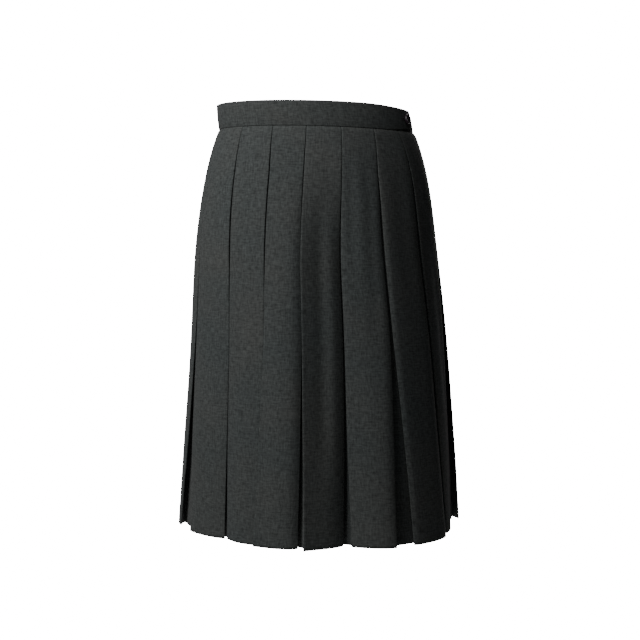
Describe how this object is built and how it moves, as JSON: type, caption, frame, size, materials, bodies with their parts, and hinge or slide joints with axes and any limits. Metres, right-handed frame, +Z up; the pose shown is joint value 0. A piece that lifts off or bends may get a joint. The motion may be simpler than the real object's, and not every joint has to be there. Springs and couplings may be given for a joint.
{
  "type": "box pleat skirt",
  "caption": "Knee-length box pleat skirt in charcoal suiting, in its worn shape, with a banded waist, a button tab and a side zip.",
  "frame": {"origin": "centre of the waist ring, halfway up the waistband, where the wearer's waist holds the skirt", "axes": "+Z up towards the wearer's head, -Y towards the skirt's front, +X towards the wearer's left, where the waistband closes"},
  "size_m": [0.3831, 0.3482, 0.5639],
  "materials": {
    "suiting": "matte charcoal melange plain weave",
    "button_plastic": "polished dark plum plastic",
    "zip_weave": "black woven tape with a nylon coil",
    "zip_metal": "black lacquered metal"
  },
  "bodies": {
    "root": {"skirt_front": "suiting", "skirt_back": "suiting", "waistband": "suiting", "button": "button_plastic", "zip_tape": "zip_weave", "zip_slider": "zip_metal"}
  },
  "joints": []
}
